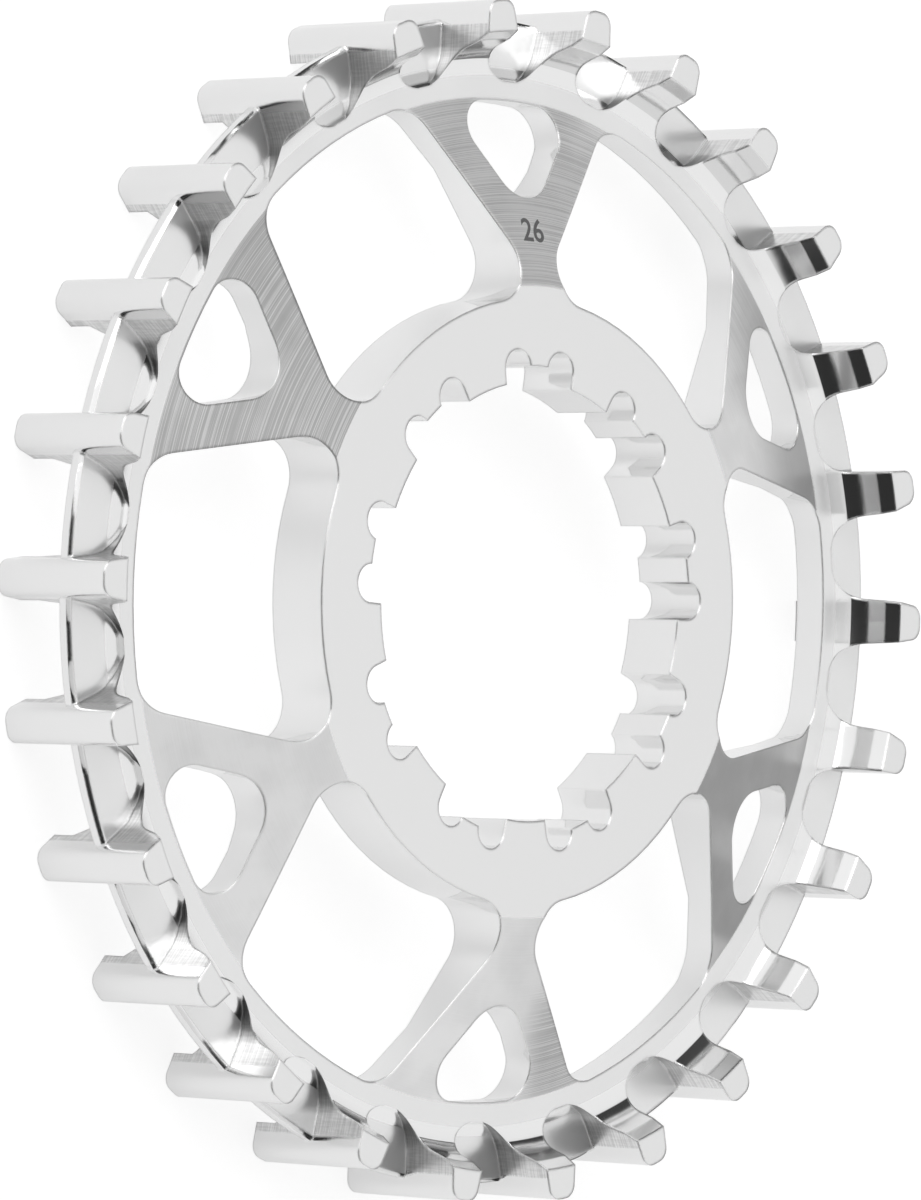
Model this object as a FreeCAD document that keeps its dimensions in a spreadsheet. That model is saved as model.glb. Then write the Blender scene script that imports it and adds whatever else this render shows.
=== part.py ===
"""Belt drive sprocket: 26 belt teeth with a centre fin, six Y-shaped arms and a nine-spline bore.

One machined piece, in millimetres. The axis of rotation is Z. The sprocket lies on the back ends of
its teeth at Z = 0, its front faces up, and one arm points along +Y, in line with a gap between teeth.
"""

import FreeCAD
import Part
import Sketcher

import math
import os

DEG = "1 deg"
ORIGIN = (-1, 1)
X_AXIS = -1
Y_AXIS = -2
START, END, CENTRE = 1, 2, 3
UP = FreeCAD.Vector(0, 0, 1)

# Driving dimensions: alias, value, what it is. Lengths in mm, angles in degrees.
SIZES = [
    ("teeth", 26, "number of belt teeth"),
    ("belt_pitch", 11.0, "spacing of the belt's teeth along its pitch line"),
    ("tip_drop", 0.82, "tips of the teeth below the belt's pitch line"),
    ("tooth_depth", 5.95, "tip of a tooth to the floor of a valley"),
    ("tooth_length", 10.8, "length of a tooth along the axis"),
    ("valley_round", 3.4, "radius of the floor of a valley"),
    ("flank_angle", 15.0, "lean of a flank away from the middle of its valley"),
    ("tip_round", 1.05, "rounding of a tooth's two long top edges"),
    ("fin_drop", 1.25, "edge of the centre fin below the tips of the teeth"),
    ("fin_setback", 4.8, "front ends of the teeth to the front face of the fin"),
    ("fin_thickness", 1.2, "thickness of the centre fin"),
    ("fin_chamfer", 0.25, "chamfer on the edge of the fin"),
    ("fin_foot", 1.3, "width and height of the flares at the foot of the fin"),
    ("fin_foot_step", 0.38, "height at which the front flare turns from shallow to steep"),
    ("fin_foot_sink", 0.15, "how far the flares start below the floor of a valley"),
    ("end_face_height", 2.35, "flat front end of a tooth, from its tip inwards"),
    ("lip_width", 0.6, "bevel between the front end and the rim's wall, along the radius"),
    ("lip_height", 1.0, "the same bevel, along the axis"),
    ("rim_setback", 4.0, "front ends of the teeth to the flat front of the rim"),
    ("rim_flat_margin", 0.1, "flat front of the rim beyond the floor of a valley"),
    ("cove_round", 2.6, "radius of the cove between the rim's front and its wall"),
    ("back_rim_setback", 4.1, "back ends of the teeth to the flat back of the rim"),
    ("back_end_height", 2.35, "flat back end of a tooth, from its tip inwards"),
    ("back_slope", 2.2, "width and height of the slope between the rim's back and the back ends"),
    ("rim_wall", 1.0, "metal between the floor of a valley and a window"),
    ("dish_margin", 0.25, "edge of the dished arms inside the outer edge of the windows"),
    ("hub_thickness", 5.0, "front to back of the hub"),
    ("hub_ring", 5.05, "metal between the roots of the splines and a window"),
    ("hub_face_margin", 0.95, "flat front of the hub beyond the inner edge of the windows"),
    ("back_flat_radius", 32.5, "flat back of the hub and arms"),
    ("back_taper_radius", 37.4, "outer end of the taper that carries the back of the arms to the rim"),
    ("splines", 9, "number of spline lands"),
    ("land_radius", 16.3, "bore across the spline lands"),
    ("root_depth", 1.2, "land of a spline to the root beside it"),
    ("relief_round", 1.4, "radius of a relief notch"),
    ("relief_sink", 0.1, "centre of a relief notch inside the root's radius"),
    ("relief_angle", 7.65, "relief notch to the middle of its root, seen from the axis"),
    ("arms", 6, "number of arms"),
    ("fork_margin", 0.85, "point where an arm's outer edges would meet, beyond the windows' inner edge"),
    ("arm_spread", 39.4, "lean of each leg of an arm away from the arm's middle"),
    ("leg_width", 3.1, "width of each leg of an arm"),
    ("window_inner_round", 2.8, "corner radius of a window at the hub"),
    ("window_outer_round", 3.0, "corner radius of a window at the rim"),
    ("hole_margin", 0.15, "outer edge of a triangular hole inside the edge of the dish"),
    ("hole_side_round", 2.1, "radius of a triangular hole's two outer corners"),
    ("hole_tip_round", 3.1, "radius of a triangular hole's inner corner"),
    ("overcut", 1.0, "how far a cutting outline runs past the metal it cuts"),
]

# Dimensions that follow from the driving ones, written as formulas for the sheet.
TIP_RADIUS = "(Sizes.teeth * Sizes.belt_pitch / (2 * pi) - Sizes.tip_drop)"
FLOOR_RADIUS = f"({TIP_RADIUS} - Sizes.tooth_depth)"
FIN_RADIUS = f"({TIP_RADIUS} - Sizes.fin_drop)"
FIN_FRONT = "(Sizes.tooth_length - Sizes.fin_setback)"
FIN_BACK = f"({FIN_FRONT} - Sizes.fin_thickness)"
FOOT_BOTTOM = f"({FLOOR_RADIUS} - Sizes.fin_foot_sink)"
FOOT_TOP = f"({FOOT_BOTTOM} + Sizes.fin_foot)"
LIP_RADIUS = f"({TIP_RADIUS} - Sizes.end_face_height)"
WALL_RADIUS = f"({LIP_RADIUS} - Sizes.lip_width)"
BACK_WALL_RADIUS = f"({TIP_RADIUS} - Sizes.back_end_height)"
RIM_FRONT = "(Sizes.tooth_length - Sizes.rim_setback)"
COVE_RADIUS = f"({FLOOR_RADIUS} + Sizes.rim_flat_margin)"
HUB_BACK = "(Sizes.tooth_length - Sizes.hub_thickness)"
WINDOW_OUTER = f"({FLOOR_RADIUS} - Sizes.rim_wall)"
DISH_RADIUS = f"({WINDOW_OUTER} - Sizes.dish_margin)"
HOLE_OUTER = f"({DISH_RADIUS} - Sizes.hole_margin)"
ROOT_RADIUS = "(Sizes.land_radius + Sizes.root_depth)"
WINDOW_INNER = f"({ROOT_RADIUS} + Sizes.hub_ring)"
HUB_FACE_RADIUS = f"({WINDOW_INNER} + Sizes.hub_face_margin)"
FORK_RADIUS = f"({WINDOW_INNER} + Sizes.fork_margin)"
HALF_SECTOR = "(180 deg / Sizes.arms)"
ARM_SPREAD = f"(Sizes.arm_spread * {DEG})"
LEG_OUTER_OFFSET = f"({FORK_RADIUS} * sin({ARM_SPREAD}))"
LEG_INNER_OFFSET = f"({LEG_OUTER_OFFSET} + Sizes.leg_width)"


def make_sheet(doc):
    sheet = doc.addObject("Spreadsheet::Sheet", "Sizes")
    for row, (alias, value, meaning) in enumerate(SIZES, start=1):
        sheet.set(f"A{row}", meaning)
        sheet.set(f"B{row}", str(value))
        sheet.setAlias(f"B{row}", alias)
    doc.recompute()
    return sheet


def polar(radius, degrees):
    """A point of the sketch plane, given its distance and direction from the origin."""
    return (radius * math.cos(math.radians(degrees)), radius * math.sin(math.radians(degrees)))


def plus(point, step):
    return (point[0] + step[0], point[1] + step[1])


def direction(start, end):
    """The direction from one point to another, in degrees."""
    return math.degrees(math.atan2(end[1] - start[1], end[0] - start[0]))


class Outline:
    """A sketch on one of the body's origin planes, with its sizes bound to the sheet."""

    def __init__(self, body, sheet, name, plane):
        self.sheet = sheet
        self.sketch = body.newObject("Sketcher::SketchObject", name)
        face = next(item for item in body.Origin.OriginFeatures if item.Role == plane)
        self.sketch.AttachmentSupport = (face, [""])
        self.sketch.MapMode = "FlatFace"

    def value(self, formula):
        result = self.sheet.evalExpression(formula)
        return float(getattr(result, "Value", result))

    def line(self, start, end):
        return self.sketch.addGeometry(Part.LineSegment(FreeCAD.Vector(*start), FreeCAD.Vector(*end)), False)

    def circle(self, centre, radius):
        return self.sketch.addGeometry(Part.Circle(FreeCAD.Vector(*centre), UP, radius), False)

    def arc(self, centre, radius, first_angle, last_angle):
        """An arc drawn counter-clockwise between two directions, in degrees."""
        circle = Part.Circle(FreeCAD.Vector(*centre), UP, radius)
        while last_angle < first_angle:
            last_angle += 360
        arc = Part.ArcOfCircle(circle, math.radians(first_angle), math.radians(last_angle))
        return self.sketch.addGeometry(arc, False)

    def relate(self, kind, *where):
        return self.sketch.addConstraint(Sketcher.Constraint(kind, *where))

    def bind(self, kind, where, formula):
        """A dimension whose value comes from the sheet."""
        number = self.value(formula)
        if kind == "Angle":
            number = math.radians(number)
        index = self.relate(kind, *where, number)
        name = f"size_{index}"
        self.sketch.renameConstraint(index, name)
        self.sketch.setExpression(f"Constraints.{name}", formula)

    def join(self, ends, kind="Coincident"):
        """Joins consecutive pieces, each given as (piece, first end, last end), into a closed loop."""
        for place, (piece, _, last) in enumerate(ends):
            following, first, _ = ends[(place + 1) % len(ends)]
            smooth = kind if isinstance(kind, str) else kind[place]
            self.relate(smooth, piece, last, following, first)

    def place(self, point, across, along):
        """Fixes a point at a distance across (sketch X) and along (sketch Y) from the origin."""
        if across is not None:
            self.bind("DistanceX", (*ORIGIN, *point), across)
        if along is not None:
            self.bind("DistanceY", (*ORIGIN, *point), along)


def axis_of(body):
    return (next(item for item in body.Origin.OriginFeatures if item.Role == "Z_Axis"), [""])


def add_feature(body, kind, name, grows, **settings):
    """A feature that has to add metal, or take some away, and says so if it did not."""
    before = body.Shape.Volume
    item = body.newObject(kind, name)
    for key, setting in settings.items():
        setattr(item, key, setting)
    body.Tip = item
    body.Document.recompute()
    change = body.Shape.Volume - before
    if (change > 0) is not grows or math.isclose(change, 0, abs_tol=1e-3):
        raise RuntimeError(f"{name} changed the volume by {change}")
    return item


def cut_through(body, outline, name):
    return add_feature(body, "PartDesign::Pocket", name, False, Profile=outline.sketch, Type="ThroughAll",
                       Reversed=True)


def cut_ring(body, outline, name, count):
    """A cut right through, repeated around the axis."""
    single = cut_through(body, outline, name)
    before = body.Shape.Volume
    pattern = body.newObject("PartDesign::PolarPattern", f"{name}_ring")
    pattern.Originals = [single]
    pattern.Axis = axis_of(body)
    pattern.Angle = 360.0
    pattern.setExpression("Occurrences", count)
    body.Tip = pattern
    body.Document.recompute()
    if body.Shape.Volume >= before:
        raise RuntimeError(f"{name} was not repeated")


def turn(body, kind, outline, name, grows):
    return add_feature(body, kind, name, grows, Profile=outline.sketch, ReferenceAxis=axis_of(body), Angle=360.0)


def add_blank(body, sheet):
    """The disc that everything is cut from."""
    disc = Outline(body, sheet, "blank_outline", "XY_Plane")
    rim = disc.circle((0, 0), disc.value(TIP_RADIUS))
    disc.relate("Coincident", rim, CENTRE, *ORIGIN)
    disc.bind("Radius", (rim,), TIP_RADIUS)
    blank = body.newObject("PartDesign::Pad", "blank")
    blank.Profile = disc.sketch
    blank.setExpression("Length", "Sizes.tooth_length")
    body.Document.recompute()


def cut_valleys(body, sheet):
    """The gaps between the teeth: a round floor and two flared flanks, centred on the Y axis."""
    gap = Outline(body, sheet, "valley_outline", "XY_Plane")
    radius = gap.value("Sizes.valley_round")
    lean = gap.value("Sizes.flank_angle")
    middle = gap.value(FLOOR_RADIUS) + radius
    top = gap.value(TIP_RADIUS) + gap.value("Sizes.overcut")
    foot_x = radius * math.cos(math.radians(lean))
    foot_y = middle - radius * math.sin(math.radians(lean))
    top_x = foot_x + (top - foot_y) * math.tan(math.radians(lean))

    floor = gap.arc((0, middle), radius, 180 + lean, 360 - lean)
    right = gap.line((foot_x, foot_y), (top_x, top))
    mouth = gap.line((top_x, top), (-top_x, top))
    left = gap.line((-top_x, top), (-foot_x, foot_y))
    gap.join([(floor, START, END), (right, START, END), (mouth, START, END), (left, START, END)],
             ["Tangent", "Coincident", "Coincident", "Tangent"])
    gap.relate("PointOnObject", floor, CENTRE, Y_AXIS)
    gap.relate("Symmetric", mouth, START, mouth, END, Y_AXIS)
    gap.bind("Radius", (floor,), "Sizes.valley_round")
    gap.bind("Angle", (right,), f"90 deg - Sizes.flank_angle * {DEG}")
    gap.place((floor, CENTRE), None, f"{FLOOR_RADIUS} + Sizes.valley_round")
    gap.place((mouth, START), None, f"{TIP_RADIUS} + Sizes.overcut")
    cut_ring(body, gap, "valley", "Sizes.teeth")


def round_tips(body, sheet):
    """The two long top edges of every tooth."""
    tip = float(sheet.evalExpression(TIP_RADIUS))
    names = []
    for number, edge in enumerate(body.Shape.Edges, start=1):
        first, last = edge.Vertexes[0].Point, edge.Vertexes[-1].Point
        lengthwise = abs(last.z - first.z) > edge.Length / 2
        if lengthwise and math.isclose(math.hypot(first.x, first.y), tip, abs_tol=1e-3):
            names.append(f"Edge{number}")
    toothed = body.Tip
    fillet = body.newObject("PartDesign::Fillet", "tip_rounding")
    fillet.Base = (toothed, names)
    fillet.setExpression("Radius", "Sizes.tip_round")
    body.Tip = fillet
    body.Document.recompute()


def add_fin(body, sheet):
    """The thin disc between the teeth: a bevelled edge, and a foot that flares into the valleys."""
    fin = Outline(body, sheet, "fin_outline", "XZ_Plane")
    buried = fin.value(WINDOW_OUTER)
    outer = fin.value(FIN_RADIUS)
    back, front = fin.value(FIN_BACK), fin.value(FIN_FRONT)
    flare, step = fin.value("Sizes.fin_foot"), fin.value("Sizes.fin_foot_step")
    top, bottom = fin.value(FOOT_TOP), fin.value(FOOT_BOTTOM)
    cut = fin.value("Sizes.fin_chamfer")

    steep_flare = fin.line((bottom, front + flare), (bottom + step, front + step))
    shallow_flare = fin.line((bottom + step, front + step), (top, front))
    front_face = fin.line((top, front), (outer - cut, front))
    front_cut = fin.line((outer - cut, front), (outer, front - cut))
    edge = fin.line((outer, front - cut), (outer, back + cut))
    back_cut = fin.line((outer, back + cut), (outer - cut, back))
    back_face = fin.line((outer - cut, back), (top, back))
    back_flare = fin.line((top, back), (bottom, back - flare))
    back_side = fin.line((bottom, back - flare), (buried, back - flare))
    inner_side = fin.line((buried, back - flare), (buried, front + flare))
    front_side = fin.line((buried, front + flare), (bottom, front + flare))
    fin.join([(steep_flare, START, END), (shallow_flare, START, END), (front_face, START, END),
              (front_cut, START, END), (edge, START, END), (back_cut, START, END),
              (back_face, START, END), (back_flare, START, END), (back_side, START, END),
              (inner_side, START, END), (front_side, START, END)])
    for level in (front_face, back_face, back_side, front_side):
        fin.relate("Horizontal", level)
    for upright in (edge, inner_side):
        fin.relate("Vertical", upright)
    fin.place((steep_flare, START), FOOT_BOTTOM, f"{FIN_FRONT} + Sizes.fin_foot")
    fin.place((shallow_flare, START), f"{FOOT_BOTTOM} + Sizes.fin_foot_step",
              f"{FIN_FRONT} + Sizes.fin_foot_step")
    fin.place((front_face, START), FOOT_TOP, FIN_FRONT)
    fin.relate("Vertical", front_face, START, back_flare, START)
    fin.place((back_flare, END), FOOT_BOTTOM, f"{FIN_BACK} - Sizes.fin_foot")
    fin.place((back_face, START), f"{FIN_RADIUS} - Sizes.fin_chamfer", FIN_BACK)
    fin.place((front_face, END), f"{FIN_RADIUS} - Sizes.fin_chamfer", None)
    fin.place((edge, START), FIN_RADIUS, f"{FIN_FRONT} - Sizes.fin_chamfer")
    fin.place((edge, END), None, f"{FIN_BACK} + Sizes.fin_chamfer")
    fin.place((inner_side, START), WINDOW_OUTER, None)
    turn(body, "PartDesign::Revolution", fin, "fin", True)


def cut_front(body, sheet):
    """The front: a dished web, the rim's flat, and a cove, a wall and a bevel up to the teeth's ends."""
    cut = Outline(body, sheet, "front_outline", "XZ_Plane")
    top = cut.value("Sizes.tooth_length")
    above = top + cut.value("Sizes.overcut")
    level = cut.value(RIM_FRONT)
    hub, dish, cove = (cut.value(formula) for formula in (HUB_FACE_RADIUS, DISH_RADIUS, COVE_RADIUS))
    lip, wall_top = cut.value(LIP_RADIUS), cut.value(WALL_RADIUS)
    cove_round, shoulder = cut.value("Sizes.cove_round"), top - cut.value("Sizes.lip_height")
    centre, corner = (cove, level + cove_round), (wall_top, shoulder)
    facing = direction(centre, corner) - math.degrees(math.acos(cove_round / math.dist(centre, corner)))
    low = plus(centre, polar(cove_round, facing))

    web = cut.line((hub, top), (dish, level))
    flat = cut.line((dish, level), (cove, level))
    hollow = cut.arc(centre, cove_round, 270, facing + 360)
    wall = cut.line(low, corner)
    bevel = cut.line(corner, (lip, top))
    rise = cut.line((lip, top), (lip, above))
    lid = cut.line((lip, above), (hub, above))
    fall = cut.line((hub, above), (hub, top))
    cut.join([(web, START, END), (flat, START, END), (hollow, START, END), (wall, START, END),
              (bevel, START, END), (rise, START, END), (lid, START, END), (fall, START, END)],
             ["Coincident", "Tangent", "Tangent"] + ["Coincident"] * 5)
    cut.relate("Horizontal", flat)
    cut.relate("Horizontal", lid)
    cut.relate("Vertical", rise)
    cut.relate("Vertical", fall)
    cut.bind("Radius", (hollow,), "Sizes.cove_round")
    cut.place((web, START), HUB_FACE_RADIUS, "Sizes.tooth_length")
    cut.place((flat, START), DISH_RADIUS, RIM_FRONT)
    cut.place((flat, END), COVE_RADIUS, None)
    cut.place((bevel, START), WALL_RADIUS, "Sizes.tooth_length - Sizes.lip_height")
    cut.place((bevel, END), LIP_RADIUS, "Sizes.tooth_length")
    cut.place((lid, START), None, "Sizes.tooth_length + Sizes.overcut")
    turn(body, "PartDesign::Groove", cut, "front", False)


def cut_back(body, sheet):
    """The back: a flat hub and arms, a taper down to the rim, and a slope up to the teeth's ends."""
    cut = Outline(body, sheet, "back_outline", "XZ_Plane")
    below = -cut.value("Sizes.overcut")
    hub, rim = cut.value(HUB_BACK), cut.value("Sizes.back_rim_setback")
    flat_radius, taper_radius = cut.value("Sizes.back_flat_radius"), cut.value("Sizes.back_taper_radius")
    wall, slope = cut.value(BACK_WALL_RADIUS), cut.value("Sizes.back_slope")

    flat = cut.line((0, hub), (flat_radius, hub))
    taper = cut.line((flat_radius, hub), (taper_radius, rim))
    level = cut.line((taper_radius, rim), (wall - slope, rim))
    rise = cut.line((wall - slope, rim), (wall, rim - slope))
    side = cut.line((wall, rim - slope), (wall, below))
    bottom = cut.line((wall, below), (0, below))
    axis = cut.line((0, below), (0, hub))
    cut.join([(flat, START, END), (taper, START, END), (level, START, END), (rise, START, END),
              (side, START, END), (bottom, START, END), (axis, START, END)])
    for line in (flat, level, bottom):
        cut.relate("Horizontal", line)
    cut.relate("Vertical", side)
    cut.relate("PointOnObject", axis, START, Y_AXIS)
    cut.relate("PointOnObject", axis, END, Y_AXIS)
    cut.place((flat, END), "Sizes.back_flat_radius", HUB_BACK)
    cut.place((level, START), "Sizes.back_taper_radius", "Sizes.back_rim_setback")
    cut.place((rise, START), f"{BACK_WALL_RADIUS} - Sizes.back_slope", None)
    cut.place((side, START), BACK_WALL_RADIUS, "Sizes.back_rim_setback - Sizes.back_slope")
    cut.place((side, END), None, "-Sizes.overcut")
    turn(body, "PartDesign::Groove", cut, "back", False)


def far_corner(first, first_reach, second, second_reach):
    """The point at two given distances from two given points, on the right of the way between them."""
    gap = math.dist(first, second)
    along = (first_reach ** 2 - second_reach ** 2 + gap ** 2) / (2 * gap)
    aside = math.sqrt(first_reach ** 2 - along ** 2)
    way = ((second[0] - first[0]) / gap, (second[1] - first[1]) / gap)
    return (first[0] + along * way[0] + aside * way[1], first[1] + along * way[1] - aside * way[0])


def on_offset(offset, normal, reach, side=-90):
    """The point at a distance from the origin whose offset along a direction is given."""
    aside = math.sqrt(reach ** 2 - offset ** 2)
    return plus(polar(offset, normal), polar(aside, normal + side))


def cut_windows(body, sheet):
    """The large openings between the arms, the first one centred on the X axis."""
    window = Outline(body, sheet, "window_outline", "XY_Plane")
    inner, outer = window.value(WINDOW_INNER), window.value(WINDOW_OUTER)
    offset = window.value(LEG_OUTER_OFFSET)
    lean = window.value("Sizes.arm_spread") - 180 / window.value("Sizes.arms")
    small, large = window.value("Sizes.window_inner_round"), window.value("Sizes.window_outer_round")
    normal = 90 - lean
    near = on_offset(offset - small, normal, inner + small)
    far = on_offset(offset - large, normal, outer - large)
    near_line = plus(near, polar(small, normal))
    far_line = plus(far, polar(large, normal))
    near_turn, far_turn = direction((0, 0), near), direction((0, 0), far)

    def mirrored(point):
        return (point[0], -point[1])

    rim_side = window.arc((0, 0), outer, -far_turn, far_turn)
    far_left = window.arc(far, large, far_turn, normal)
    left = window.line(far_line, near_line)
    near_left = window.arc(near, small, normal, near_turn + 180)
    hub_side = window.arc((0, 0), inner, -near_turn, near_turn)
    near_right = window.arc(mirrored(near), small, 180 - near_turn, 360 - normal)
    right = window.line(mirrored(near_line), mirrored(far_line))
    far_right = window.arc(mirrored(far), large, 360 - normal, 360 - far_turn)
    window.join([(rim_side, START, END), (far_left, START, END), (left, START, END),
                 (near_left, START, END), (hub_side, END, START), (near_right, START, END),
                 (right, START, END), (far_right, START, END)], "Tangent")
    for arc in (rim_side, hub_side):
        window.relate("Coincident", arc, CENTRE, *ORIGIN)
    window.bind("Radius", (rim_side,), WINDOW_OUTER)
    window.bind("Radius", (hub_side,), WINDOW_INNER)
    window.bind("Radius", (far_left,), "Sizes.window_outer_round")
    window.bind("Radius", (near_left,), "Sizes.window_inner_round")
    window.bind("Radius", (far_right,), "Sizes.window_outer_round")
    window.bind("Radius", (near_right,), "Sizes.window_inner_round")
    window.bind("Distance", (*ORIGIN, left), LEG_OUTER_OFFSET)
    window.bind("Distance", (*ORIGIN, right), LEG_OUTER_OFFSET)
    window.bind("Angle", (left,), f"180 deg - {ARM_SPREAD} + {HALF_SECTOR}")
    window.bind("Angle", (right,), f"{ARM_SPREAD} - {HALF_SECTOR}")
    cut_ring(body, window, "window", "Sizes.arms")


def cut_holes(body, sheet):
    """The rounded triangle in the fork of each arm, the first one on the Y axis."""
    hole = Outline(body, sheet, "hole_outline", "XY_Plane")
    outer = hole.value(HOLE_OUTER)
    offset = hole.value(LEG_INNER_OFFSET)
    spread = hole.value("Sizes.arm_spread")
    tip_round, side_round = hole.value("Sizes.hole_tip_round"), hole.value("Sizes.hole_side_round")
    normal = 180 - spread
    tip = (0, (offset + tip_round) / math.sin(math.radians(spread)))
    corner = on_offset(offset + side_round, normal, outer - side_round)
    tip_line = plus(tip, polar(-tip_round, normal))
    corner_line = plus(corner, polar(-side_round, normal))
    corner_turn = direction((0, 0), corner)

    def mirrored(point):
        return (-point[0], point[1])

    point = hole.arc(tip, tip_round, 180 + spread, 360 - spread)
    right = hole.line(tip_line, corner_line)
    right_corner = hole.arc(corner, side_round, -spread, corner_turn)
    rim_side = hole.arc((0, 0), outer, corner_turn, 180 - corner_turn)
    left_corner = hole.arc(mirrored(corner), side_round, 180 - corner_turn, 180 + spread)
    left = hole.line(mirrored(corner_line), mirrored(tip_line))
    hole.join([(point, START, END), (right, START, END), (right_corner, START, END),
               (rim_side, START, END), (left_corner, START, END), (left, START, END)], "Tangent")
    hole.relate("Coincident", rim_side, CENTRE, *ORIGIN)
    hole.bind("Radius", (rim_side,), HOLE_OUTER)
    hole.bind("Radius", (point,), "Sizes.hole_tip_round")
    hole.bind("Radius", (right_corner,), "Sizes.hole_side_round")
    hole.bind("Radius", (left_corner,), "Sizes.hole_side_round")
    hole.bind("Distance", (*ORIGIN, right), LEG_INNER_OFFSET)
    hole.bind("Distance", (*ORIGIN, left), LEG_INNER_OFFSET)
    hole.bind("Angle", (right,), f"90 deg - {ARM_SPREAD}")
    hole.bind("Angle", (left,), f"{ARM_SPREAD} - 90 deg")
    cut_ring(body, hole, "hole", "Sizes.arms")


def cut_bore(body, sheet):
    """The round bore across the spline lands."""
    bore = Outline(body, sheet, "bore_outline", "XY_Plane")
    land = bore.circle((0, 0), bore.value("Sizes.land_radius"))
    bore.relate("Coincident", land, CENTRE, *ORIGIN)
    bore.bind("Radius", (land,), "Sizes.land_radius")
    cut_through(body, bore, "bore")


def cut_splines(body, sheet):
    """The gap between two wide lands: a shallow root with a round relief notch on each side of it."""
    gap = Outline(body, sheet, "spline_outline", "XY_Plane")
    root = gap.value(ROOT_RADIUS)
    notch = gap.value("Sizes.relief_round")
    reach = root - gap.value("Sizes.relief_sink")
    tilt = gap.value("Sizes.relief_angle")
    mouth = gap.value("Sizes.land_radius") - gap.value("Sizes.overcut")
    heading = 90 - tilt
    centre = polar(reach, heading)
    outward = plus(centre, polar(notch, heading - 90))
    mouth_corner = on_offset(notch, heading - 90, mouth, 90)
    meeting = far_corner(centre, notch, (0, 0), root)

    def mirrored(point):
        return (-point[0], point[1])

    right_wall = gap.line(mouth_corner, outward)
    right_notch = gap.arc(centre, notch, heading - 90, direction(centre, meeting))
    root_land = gap.arc((0, 0), root, direction((0, 0), meeting), 180 - direction((0, 0), meeting))
    left_notch = gap.arc(mirrored(centre), notch, 180 - direction(centre, meeting), 270 - heading)
    left_wall = gap.line(mirrored(outward), mirrored(mouth_corner))
    bottom = gap.line(mirrored(mouth_corner), mouth_corner)
    gap.join([(right_wall, START, END), (right_notch, START, END), (root_land, START, END),
              (left_notch, START, END), (left_wall, START, END), (bottom, START, END)],
             ["Tangent", "Coincident", "Coincident", "Tangent", "Coincident", "Coincident"])
    gap.relate("Coincident", root_land, CENTRE, *ORIGIN)
    gap.bind("Radius", (root_land,), ROOT_RADIUS)
    gap.bind("Radius", (right_notch,), "Sizes.relief_round")
    gap.bind("Radius", (left_notch,), "Sizes.relief_round")
    gap.bind("Angle", (right_wall,), f"90 deg - Sizes.relief_angle * {DEG}")
    gap.bind("Angle", (left_wall,), f"-90 deg + Sizes.relief_angle * {DEG}")
    for notch_arc, wall, end in ((right_notch, right_wall, END), (left_notch, left_wall, START)):
        gap.bind("Distance", (*ORIGIN, notch_arc, CENTRE), f"{ROOT_RADIUS} - Sizes.relief_sink")
        gap.bind("Distance", (*ORIGIN, wall), "Sizes.relief_round")
        gap.bind("Distance", (*ORIGIN, bottom, end), "Sizes.land_radius - Sizes.overcut")
    cut_ring(body, gap, "spline", "Sizes.splines")


def check_model(doc):
    """Nothing in the document may have failed, and each shape has to be sound."""
    for item in doc.Objects:
        if {"Invalid", "Error"} & set(item.State):
            raise RuntimeError(f"{item.Name}: {item.State}")
        shape = getattr(item, "Shape", None)
        if shape is not None and item.isDerivedFrom("PartDesign::Feature"):
            if shape.isNull() or not shape.isValid():
                raise RuntimeError(f"{item.Name} has no sound shape")


def main():
    doc = FreeCAD.newDocument("belt_sprocket")
    sheet = make_sheet(doc)
    body = doc.addObject("PartDesign::Body", "Sprocket")
    body.Label = "sprocket"
    add_blank(body, sheet)
    cut_valleys(body, sheet)
    round_tips(body, sheet)
    add_fin(body, sheet)
    cut_front(body, sheet)
    cut_back(body, sheet)
    cut_windows(body, sheet)
    cut_holes(body, sheet)
    cut_bore(body, sheet)
    cut_splines(body, sheet)
    doc.recompute()
    check_model(doc)
    if len(body.Shape.Solids) != 1:
        raise RuntimeError("the sprocket has to be one solid")
    os.makedirs("parts", exist_ok=True)
    body.Shape.exportStep(f"parts/{body.Label}.step")


main()
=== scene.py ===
"""The sprocket's looks: bright machined steel on a pale floor, under soft studio light.

Lengths are in metres unless a name ends in _MM, and angles are in degrees. The frame is the sprocket's own:
its axis is Z, its front faces up, and one arm points along +Y, which is up in the photograph.
"""

import math

import bpy
from mathutils import Matrix, Vector


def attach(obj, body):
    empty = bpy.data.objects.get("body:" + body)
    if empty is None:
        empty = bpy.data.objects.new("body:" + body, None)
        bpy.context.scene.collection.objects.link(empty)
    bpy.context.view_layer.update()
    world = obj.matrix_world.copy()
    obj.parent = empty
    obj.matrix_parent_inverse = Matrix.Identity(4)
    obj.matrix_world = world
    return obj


MM = 0.001

# The camera, as the photograph places it. Its direction is about Z, from +X.
CAMERA_DIRECTION = 181.76
CAMERA_ELEVATION = 43.05
CAMERA_ROLL = 90.60
CAMERA_DISTANCE = 0.6402
CAMERA_AIM_MM = (-7.848, -0.171, 10.8)
CAMERA_LENS = 340.1
CAMERA_SENSOR = 36.0
CAMERA_RANGE = (0.01, 20.0)

# Where the sprocket's surfaces meet. A band is its low edge, its high edge and how soft both are.
HUB_EDGE_MM = 23.5                          # distances from the axis
WEB_EDGE_MM = 37.5
WEB_BAND_MM = (HUB_EDGE_MM, WEB_EDGE_MM, 0.03)
TEETH_START_MM = (38.55, 38.65)
VALLEY_BAND_MM = (38.6, 43.0, 0.1)
COVE_BAND_MM = (38.8, 42.5, 0.05)
FOOT_BAND_MM = (38.4, 40.4, 0.05)
CHAMFER_START_MM = (43.0, 43.1)
FOOT_HEIGHT_MM = (5.8, 7.4, 0.05)           # heights above the floor
RIM_FRONT_MM = 6.8
FRONT_MM = 10.8

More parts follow.
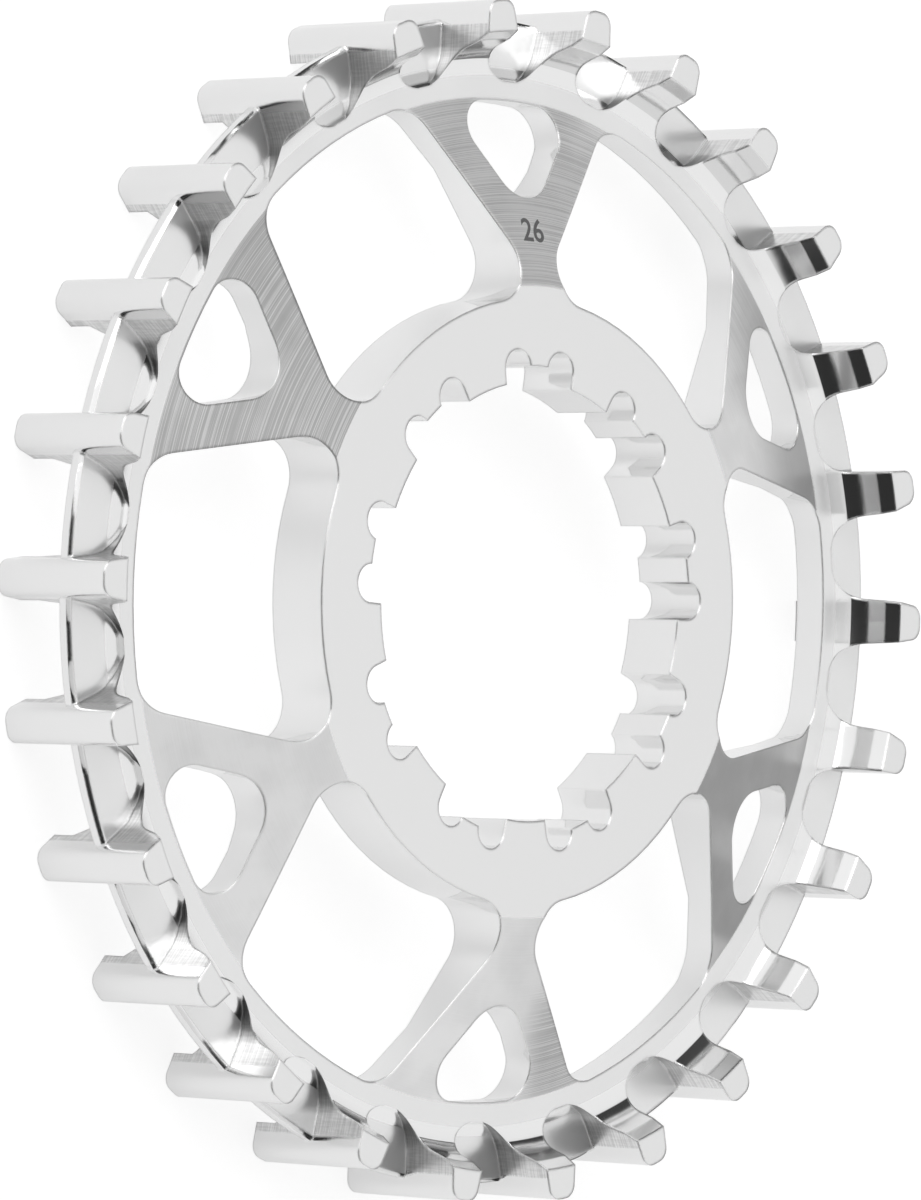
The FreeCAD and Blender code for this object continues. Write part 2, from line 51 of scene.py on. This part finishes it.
# How much a surface faces up, from 0 for a wall to 1 for a flat. Those for walls and flats count both ways.
WALL_SLOPE = (0.05, 0.15)
FLAT_SLOPE = (0.990, 0.995)
FOOT_SLOPE = (0.15, 0.30)
WEB_SLOPE_BAND = (0.90, 0.985, 0.005)
COVE_SLOPE_BAND = (0.2, 0.985, 0.01)
CHAMFER_SLOPE_BAND = (0.5, 0.9, 0.02)

# The edges, and how far normals lean up on the feet of the fin and on the broken part of its chamfer.
EDGE_ROUND_MM = 0.32
FOOT_LEAN = 2.5
CHAMFER_LEAN = 1.6
BREAK_SCALE = 190.0
BREAK_LEVELS = (0.42, 0.58)

# The polished teeth, rim and walls. Painted shade darkens the valleys towards their floor.
POLISHED_TONE = 0.88
POLISHED_ROUGHNESS = 0.10
VALLEY_ROUGHNESS = 0.28
COVE_ROUGHNESS = 0.14
# Painted shade: the valleys' tone goes from the low to the high value between these distances from the axis,
# darkest near the valley floor.
VALLEY_DEPTH_MM = (39.3, 41.4)
VALLEY_PAINTED_SHADE = (0.36, 0.82)
MILLING_SCALES = (0.25, 0.25, 8.0)          # the cutter's marks: how fine along X, Y and Z
HATCHING_SCALES = (6.0, 6.0, 0.6)
MARK_LEVELS = (0.40, 0.60)
MILLING_TONES = (0.84, 1.03)
HATCHING_TONES = (0.90, 1.0)
MILLING_DEPTH_MM = 0.012
MILLING_STRENGTHS = (0.05, 0.8)             # on the walls inside the ring of teeth, and on the teeth

# The rings that turning left on the flats and the web: how fine across them and along them.
RING_SCALES = (14.0, 0.5)

# The dressed flats. A haze is the share of rough metal in a finish.
FACE_COLOUR = (0.93, 0.93, 0.93, 1.0)
FACE_ROUGHNESS = 0.24
FACE_HAZE = 0.3
FACE_HAZE_ROUGHNESS = 0.8
FACE_RING_DEPTH_MM = 0.006
FACE_RING_STRENGTH = 0.12

# The brushed web. A pair of tones holds for the plain part and for the part with coarse grain.
WEB_ROUGHNESS = 0.36
WEB_ANISOTROPY = 0.75
WEB_TURN = 0.25
WEB_HAZE = 0.5
WEB_HAZE_ROUGHNESS = 0.72
WEB_RING_DEPTH_MM = 0.008
WEB_RING_STRENGTHS = (0.15, 1.0)
WEB_RING_SHARE = 0.7
SCRATCH_LEVELS = (0.46, 0.60)
SCRATCH_DARK = (0.98, 0.82)
SCRATCH_BRIGHT = (1.0, 1.20)
CLOUD_SCALE = 260.0
CLOUD_LEVELS = (0.3, 0.7)
CLOUD_TONES = (0.95, 1.03)

# Patches of the web: the middle, half width and softness about Z, then the distances from the axis where
# the patch starts and where it is full, in millimetres. Later ones cover earlier ones.
# The bottom arm holds coarse grain, and painted shade towards the rim.
BOTTOM_ARM = (-73.0, 8.0, 4.0, 27.0, 32.0)
GRAINY_SIDE = (115.0, 62.0, 25.0, 0.0, 1.0)
WEB_TONE = 1.0
# Painted shade: darker tones painted on some arms of the web, in place of the darker reflections of brushed
# steel there.
PAINTED_SHADE_PATCHES = [
    ((150.0, 22.0, 12.0, 0.0, 1.0), 0.58),
    ((-30.0, 19.0, 6.0, 0.0, 1.0), 0.60),
    ((24.0, 17.0, 8.0, 27.0, 36.0), 0.58),
    (BOTTOM_ARM, 0.78),
]

# The number etched into the arm along +Y.
NUMBER = "26"
NUMBER_RADIUS_MM = 27.55
NUMBER_SIZE_MM = 2.4
ETCH_MM = 0.012
STROKE_MM = 0.03
ETCH_TONES = (0.11, 0.16)
ETCH_ROUGHNESS = 0.7
SPECKLE_SCALE = 6000.0
SPECKLE_LEVELS = (0.3, 0.7)

# The floor: what the camera sees and what a reflection sees, each a colour and a glow.
FLOOR_SIZE = 3.0
FLOOR_COLOUR = 0.30
FLOOR_GLOW = 0.84
MIRRORED_COLOUR = 0.50
MIRRORED_GLOW = 0.55
FLOOR_GRAIN_SCALE = 900.0
FLOOR_GRAIN_MM = 0.02
FLOOR_GRAIN_STRENGTH = 0.1

# The lamp. Here and in the studio a radiance of 1 is as bright as white paper.
LAMP_DIRECTION = 118.0
LAMP_ELEVATION = 48.0
LAMP_DISTANCE = 0.9
LAMP_SIZE = 0.6
LAMP_RADIANCE = 1.6

# The studio: where each zone of it lies (middle and half width about Z, low and high edge above the
# horizon, softness) and its radiance. Later ones cover earlier ones.
WALL_RADIANCE = 0.74
CEILING_RADIANCE = 0.62
CEILING_EDGE = (50.0, 85.0)
STUDIO = [
    ((-10.0, 34.0, 33.0, 62.0, 8.0), 0.92),
    ((-150.0, 48.0, -2.0, 74.0, 6.0), 0.03),
    ((59.0, 40.0, 6.0, 47.0, 4.0), 0.05),
    ((-21.0, 20.0, -6.0, 28.0, 4.0), 0.18),
    ((132.0, 31.0, -8.0, 88.0, 3.0), 0.97),
    ((84.0, 72.0, 57.0, 86.0, 4.0), 1.04),
]


class Nodes:
    """A node tree with short calls for the sums that the masks need."""

    def __init__(self, tree):
        self.tree = tree
        self.tree.nodes.clear()

    def add(self, kind, inputs=None, **settings):
        """A new node. Its inputs are numbers or other nodes' sockets, by name or place."""
        made = self.tree.nodes.new(kind)
        for key, setting in settings.items():
            setattr(made, key, setting)
        for key, source in (inputs or {}).items():
            self.feed(made.inputs[key], source)
        return made

    def feed(self, socket, source):
        if isinstance(source, bpy.types.NodeSocket):
            self.tree.links.new(source, socket)
        else:
            socket.default_value = source

    def sum(self, operation, *values):
        made = self.add("ShaderNodeMath", dict(enumerate(values)), operation=operation)
        return made.outputs[0]

    def product(self, first, second):
        return self.sum("MULTIPLY", first, second)

    def ramp(self, value, low, high, bottom=0.0, top=1.0):
        """A smooth step from bottom to top as the value goes from low to high."""
        made = self.add("ShaderNodeMapRange", {"Value": value, "From Min": low, "From Max": high,
                                               "To Min": bottom, "To Max": top},
                        interpolation_type="SMOOTHSTEP")
        return made.outputs["Result"]

    def band(self, value, low, high, soft):
        """1 between low and high, with soft edges, and 0 outside."""
        rise = self.ramp(value, low - soft, low + soft)
        fall = self.ramp(value, high - soft, high + soft, 1.0, 0.0)
        return self.product(rise, fall)

    def blend(self, factor, first, second):
        """A number that goes from first to second as the factor goes from 0 to 1."""
        made = self.add("ShaderNodeMix", {0: factor, 2: first, 3: second}, data_type="FLOAT")
        return made.outputs[0]

    def mix(self, factor, first, second):
        """A shader that goes from first to second as the factor goes from 0 to 1."""
        return self.add("ShaderNodeMixShader", {0: factor, 1: first, 2: second}).outputs[0]

    def grey(self, tone):
        return self.add("ShaderNodeCombineColor", {0: tone, 1: tone, 2: tone}).outputs[0]

    def noise(self, scale, detail, **inputs):
        return self.add("ShaderNodeTexNoise", {"Scale": scale, "Detail": detail, **inputs}).outputs[0]

    def drawn_noise(self, values, scales, detail, **inputs):
        """Noise over these values, each with its own scale: fine along one, slow along another."""
        scaled = [self.product(value, scale) for value, scale in zip(values, scales)]
        grid = self.add("ShaderNodeCombineXYZ", dict(enumerate(scaled)))
        return self.noise(1.0, detail, Vector=grid.outputs[0], **inputs)

    def metal(self, colour, roughness, normal, **inputs):
        return self.add("ShaderNodeBsdfPrincipled", {"Base Color": colour, "Metallic": 1.0,
                                                     "Roughness": roughness, "Normal": normal,
                                                     **inputs}).outputs[0]

    def relief(self, height, depth_mm, strength, **inputs):
        """A normal for a surface whose height varies by this depth."""
        return self.add("ShaderNodeBump", {"Height": height, "Distance": depth_mm * MM, "Strength": strength,
                                           **inputs}).outputs[0]


def new_material(name):
    material = bpy.data.materials.new(name)
    material.use_nodes = True
    return material, Nodes(material.node_tree)


def find_places(nodes):
    """Where a point of the sprocket is, in millimetres, and masks for the kinds of surface it may be on."""
    point = nodes.add("ShaderNodeTexCoord").outputs["Object"]
    split = nodes.add("ShaderNodeSeparateXYZ", {0: point})
    x, y, z = (nodes.sum("DIVIDE", split.outputs[axis], MM) for axis in range(3))
    radius = nodes.sum("SQRT", nodes.sum("ADD", nodes.product(x, x), nodes.product(y, y)))
    facing = nodes.add("ShaderNodeNewGeometry").outputs["True Normal"]
    up = nodes.add("ShaderNodeSeparateXYZ", {0: facing}).outputs[2]
    level = nodes.sum("ABSOLUTE", up)
    wall = nodes.ramp(level, *WALL_SLOPE, 1.0, 0.0)
    foot = nodes.product(nodes.band(radius, *FOOT_BAND_MM), nodes.band(z, *FOOT_HEIGHT_MM))
    return {
        "point": point,
        "xyz": (x, y, z),
        "radius": radius,
        "angle": nodes.sum("ARCTAN2", y, x),
        "wall": wall,
        "flat": nodes.ramp(level, *FLAT_SLOPE),
        "web": nodes.product(nodes.band(radius, *WEB_BAND_MM), nodes.band(up, *WEB_SLOPE_BAND)),
        "teeth": nodes.ramp(radius, *TEETH_START_MM),
        "valley": nodes.product(wall, nodes.band(radius, *VALLEY_BAND_MM)),
        "cove": nodes.product(nodes.band(radius, *COVE_BAND_MM), nodes.band(up, *COVE_SLOPE_BAND)),
        "foot": nodes.product(foot, nodes.ramp(up, *FOOT_SLOPE)),
        "chamfer": nodes.product(nodes.ramp(radius, *CHAMFER_START_MM),
                                 nodes.band(up, *CHAMFER_SLOPE_BAND)),
    }


def worn_normal(nodes, places):
    """Normals that round the edges, and lean up on the feet of the fin and in breaks along its chamfer."""
    rounded = nodes.add("ShaderNodeBevel", {"Radius": EDGE_ROUND_MM * MM}, samples=6).outputs[0]
    broken = nodes.noise(BREAK_SCALE, 1.0, Vector=places["point"])
    breaks = nodes.ramp(broken, *BREAK_LEVELS, CHAMFER_LEAN, 0.0)
    lean = nodes.sum("ADD", nodes.product(places["foot"], FOOT_LEAN),
                     nodes.product(places["chamfer"], breaks))
    upward = nodes.add("ShaderNodeCombineXYZ", {2: lean}).outputs[0]
    leaned = nodes.add("ShaderNodeVectorMath", {0: rounded, 1: upward}, operation="ADD").outputs[0]
    return nodes.add("ShaderNodeVectorMath", {0: leaned}, operation="NORMALIZE").outputs[0]


def polished_finish(nodes, places, normal):
    """Polished steel, with the cutter's marks on the teeth, and dull valleys darkened towards their floor by
    painted shade.
    """
    milling = nodes.drawn_noise(places["xyz"], MILLING_SCALES, 3.0)
    hatching = nodes.drawn_noise(places["xyz"], HATCHING_SCALES, 3.0)
    marks = nodes.product(nodes.ramp(milling, *MARK_LEVELS, *MILLING_TONES),
                          nodes.ramp(hatching, *MARK_LEVELS, *HATCHING_TONES))
    # The cutter's marks, darkened towards the valley floor by painted shade.
    marks_and_shade = nodes.product(marks, nodes.ramp(places["radius"], *VALLEY_DEPTH_MM, *VALLEY_PAINTED_SHADE))
    tone = nodes.blend(places["valley"], POLISHED_TONE, marks_and_shade)
    roughness = nodes.blend(places["valley"], POLISHED_ROUGHNESS, VALLEY_ROUGHNESS)
    roughness = nodes.blend(places["cove"], roughness, COVE_ROUGHNESS)
    strength = nodes.product(places["wall"], nodes.blend(places["teeth"], *MILLING_STRENGTHS))
    milled = nodes.relief(milling, MILLING_DEPTH_MM, strength, Normal=normal)
    return nodes.metal(nodes.grey(tone), roughness, milled)


def dressed_finish(nodes, rings, normal):
    """Flats dressed smooth, with faint rings."""
    ringed = nodes.relief(rings, FACE_RING_DEPTH_MM, FACE_RING_STRENGTH, Normal=normal)
    clear = nodes.metal(FACE_COLOUR, FACE_ROUGHNESS, ringed)
    hazy = nodes.metal(FACE_COLOUR, FACE_HAZE_ROUGHNESS, ringed)
    return nodes.mix(FACE_HAZE, clear, hazy)


def patch_mask(nodes, places, patch):
    """1 on a patch of the web and 0 off it."""
    middle, spread, soft, start, full = patch
    away = nodes.sum("COSINE", nodes.sum("SUBTRACT", places["angle"], math.radians(middle)))
    inside = nodes.ramp(away, math.cos(math.radians(spread + soft)), math.cos(math.radians(spread - soft)))
    return nodes.product(inside, nodes.ramp(places["radius"], start, full))


def brushed_finish(nodes, places, rings, normal):
    """The web, brushed round the axis: coarse grain on some arms, and painted shade on some patches, darker
    tones in place of darker reflections.
    """
    grain = nodes.sum("MAXIMUM", patch_mask(nodes, places, GRAINY_SIDE),
                      patch_mask(nodes, places, BOTTOM_ARM))
    scratch = nodes.ramp(rings, *SCRATCH_LEVELS, nodes.blend(grain, *SCRATCH_DARK),
                         nodes.blend(grain, *SCRATCH_BRIGHT))
    clouds = nodes.noise(CLOUD_SCALE, 3.0, Vector=places["point"])
    cloud = nodes.ramp(clouds, *CLOUD_LEVELS, *CLOUD_TONES)
    # Painted shade: each patch darkens the web's colour towards its own tone.
    tone = WEB_TONE
    for patch, painted_shade in PAINTED_SHADE_PATCHES:
        tone = nodes.blend(patch_mask(nodes, places, patch), tone, painted_shade)
    colour = nodes.grey(nodes.product(nodes.product(scratch, cloud), tone))
    strength = nodes.product(nodes.blend(grain, *WEB_RING_STRENGTHS), WEB_RING_SHARE)
    ringed = nodes.relief(rings, WEB_RING_DEPTH_MM, strength, Normal=normal)
    tangent = nodes.add("ShaderNodeTangent", direction_type="RADIAL", axis="Z").outputs[0]
    clear = nodes.metal(colour, WEB_ROUGHNESS, ringed, Anisotropic=WEB_ANISOTROPY, Tangent=tangent,
                        **{"Anisotropic Rotation": WEB_TURN})
    hazy = nodes.metal(colour, WEB_HAZE_ROUGHNESS, ringed)
    return nodes.mix(WEB_HAZE, clear, hazy)


def steel_material():
    material, nodes = new_material("machined_steel")
    places = find_places(nodes)
    normal = worn_normal(nodes, places)
    rings = nodes.drawn_noise((places["radius"], places["angle"]), RING_SCALES, 4.0, Roughness=0.6)
    polished = polished_finish(nodes, places, normal)
    dressed = dressed_finish(nodes, rings, normal)
    brushed = brushed_finish(nodes, places, rings, normal)
    finish = nodes.mix(places["web"], nodes.mix(places["flat"], polished, dressed), brushed)
    nodes.add("ShaderNodeOutputMaterial", {"Surface": finish})
    return material


def etched_material():
    material, nodes = new_material("etched_grey")
    tone = nodes.ramp(nodes.noise(SPECKLE_SCALE, 2.0), *SPECKLE_LEVELS, *ETCH_TONES)
    shader = nodes.add("ShaderNodeBsdfPrincipled", {"Base Color": nodes.grey(tone), "Metallic": 0.0,
                                                    "Roughness": ETCH_ROUGHNESS})
    nodes.add("ShaderNodeOutputMaterial", {"Surface": shader.outputs[0]})
    return material


def floor_material():
    """A pale floor that a camera or a reflection sees as white, with the shadow on it."""
    material, nodes = new_material("pale_floor")
    path = nodes.add("ShaderNodeLightPath")
    mirrored = nodes.sum("MAXIMUM", path.outputs["Is Glossy Ray"], path.outputs["Is Transmission Ray"])
    glowing = nodes.sum("ADD", nodes.product(path.outputs["Is Camera Ray"], FLOOR_GLOW),
                        nodes.product(mirrored, MIRRORED_GLOW))
    colour = nodes.grey(nodes.blend(mirrored, FLOOR_COLOUR, MIRRORED_COLOUR))
    grain = nodes.relief(nodes.noise(FLOOR_GRAIN_SCALE, 2.0), FLOOR_GRAIN_MM, FLOOR_GRAIN_STRENGTH)
    matt = nodes.add("ShaderNodeBsdfDiffuse", {"Color": colour, "Normal": grain})
    glow = nodes.add("ShaderNodeEmission", {"Strength": glowing})
    both = nodes.add("ShaderNodeAddShader", {0: matt.outputs[0], 1: glow.outputs[0]})
    nodes.add("ShaderNodeOutputMaterial", {"Surface": both.outputs[0]})
    return material


def add_object(name, data):
    added = bpy.data.objects.new(name, data)
    bpy.context.scene.collection.objects.link(added)
    return added


def web_height(radius_mm):
    """The front of the dished web above the floor, in millimetres."""
    fall = (radius_mm - HUB_EDGE_MM) / (WEB_EDGE_MM - HUB_EDGE_MM)
    return FRONT_MM + fall * (RIM_FRONT_MM - FRONT_MM)


def add_number(name, words, radius_mm, size_mm):
    """A plain number etched into the front of the arm along +Y, laid on the web's cone."""
    outline = bpy.data.curves.new(name, "FONT")
    outline.body = words
    outline.size = size_mm * MM
    outline.extrude = ETCH_MM * MM
    outline.offset = STROKE_MM * MM
    outline.align_x = "CENTER"
    outline.align_y = "CENTER"
    drawn = add_object(name + "_outline", outline)
    bpy.context.view_layer.update()
    mesh = bpy.data.meshes.new_from_object(drawn.evaluated_get(bpy.context.evaluated_depsgraph_get()))
    bpy.data.objects.remove(drawn)
    for corner in mesh.vertices:
        x, y, proud = corner.co
        y += radius_mm * MM
        corner.co = (x, y, web_height(math.hypot(x, y) / MM) * MM + proud)
    mesh.name = name
    mesh.materials.clear()
    mesh.materials.append(etched_material())
    number = add_object(name, mesh)
    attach(number, "root")


def add_floor():
    half = FLOOR_SIZE / 2
    mesh = bpy.data.meshes.new("floor")
    corners = [(-half, -half, 0), (half, -half, 0), (half, half, 0), (-half, half, 0)]
    mesh.from_pydata(corners, [], [(0, 1, 2, 3)])
    mesh.materials.append(floor_material())
    floor = add_object("floor", mesh)


def heading(direction, elevation):
    """The unit vector at an angle about Z and a height above the horizon."""
    around = math.radians(direction)
    above = math.radians(elevation)
    return Vector((math.cos(above) * math.cos(around), math.cos(above) * math.sin(around), math.sin(above)))


def add_light():
    """A soft square lamp that looks at the sprocket."""
    data = bpy.data.lights.new("key", "AREA")
    data.shape = "RECTANGLE"
    data.size = LAMP_SIZE
    data.size_y = LAMP_SIZE
    data.energy = LAMP_RADIANCE * math.pi * LAMP_SIZE * LAMP_SIZE
    lamp = add_object("key", data)
    lamp.location = heading(LAMP_DIRECTION, LAMP_ELEVATION) * LAMP_DISTANCE
    lamp.rotation_euler = (-lamp.location).to_track_quat("-Z", "Y").to_euler()


def zone_mask(nodes, bearing, height, zone):
    """1 inside a zone of the studio, with soft edges."""
    middle, spread, low, high, soft = zone
    along = nodes.add("ShaderNodeVectorMath", {0: bearing, 1: tuple(heading(middle, 0.0))},
                      operation="DOT_PRODUCT")
    away = nodes.sum("DEGREES", nodes.sum("ARCCOSINE", along.outputs["Value"]))
    inside = nodes.ramp(away, spread - soft, spread + soft, 1.0, 0.0)
    return nodes.product(inside, nodes.band(height, low, high, soft))


def add_world():
    """A studio round the sprocket: grey walls with bright zones, and dark ones for contrast."""
    world = bpy.data.worlds.new("studio")
    bpy.context.scene.world = world
    world.use_nodes = True
    nodes = Nodes(world.node_tree)
    ray = nodes.add("ShaderNodeTexCoord").outputs["Generated"]
    split = nodes.add("ShaderNodeSeparateXYZ", {0: ray})
    level = nodes.add("ShaderNodeCombineXYZ", {0: split.outputs[0], 1: split.outputs[1]}).outputs[0]
    bearing = nodes.add("ShaderNodeVectorMath", {0: level}, operation="NORMALIZE").outputs[0]
    height = nodes.sum("DEGREES", nodes.sum("ARCSINE", split.outputs[2]))
    glow = nodes.ramp(height, *CEILING_EDGE, WALL_RADIANCE, CEILING_RADIANCE)
    for zone, radiance in STUDIO:
        glow = nodes.blend(zone_mask(nodes, bearing, height, zone), glow, radiance)
    background = nodes.add("ShaderNodeBackground", {"Color": (1.0, 1.0, 1.0, 1.0), "Strength": glow})
    nodes.add("ShaderNodeOutputWorld", {"Surface": background.outputs[0]})


def add_camera():
    data = bpy.data.cameras.new("camera")
    data.sensor_fit = "HORIZONTAL"
    data.sensor_width = CAMERA_SENSOR
    data.lens = CAMERA_LENS
    data.clip_start, data.clip_end = CAMERA_RANGE
    camera = add_object("camera", data)
    back = heading(CAMERA_DIRECTION, CAMERA_ELEVATION)
    level = back.to_track_quat("Z", "Y").to_matrix().to_4x4()
    turned = level @ Matrix.Rotation(math.radians(CAMERA_ROLL), 4, "Z")
    aim = Vector(CAMERA_AIM_MM) * MM
    camera.matrix_world = Matrix.Translation(aim + back * CAMERA_DISTANCE) @ turned
    bpy.context.scene.camera = camera


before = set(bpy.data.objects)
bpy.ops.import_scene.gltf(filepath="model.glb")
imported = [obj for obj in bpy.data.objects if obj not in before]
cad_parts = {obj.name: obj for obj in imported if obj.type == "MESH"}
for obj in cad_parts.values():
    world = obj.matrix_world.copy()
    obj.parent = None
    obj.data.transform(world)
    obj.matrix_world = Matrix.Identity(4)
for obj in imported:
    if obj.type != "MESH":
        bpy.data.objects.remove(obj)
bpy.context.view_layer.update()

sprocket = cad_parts["sprocket"]
sprocket.data.materials.clear()
sprocket.data.materials.append(steel_material())
add_number("tooth_count", NUMBER, NUMBER_RADIUS_MM, NUMBER_SIZE_MM)
add_floor()
add_world()
add_light()
add_camera()
bpy.context.scene.view_settings.view_transform = "Standard"
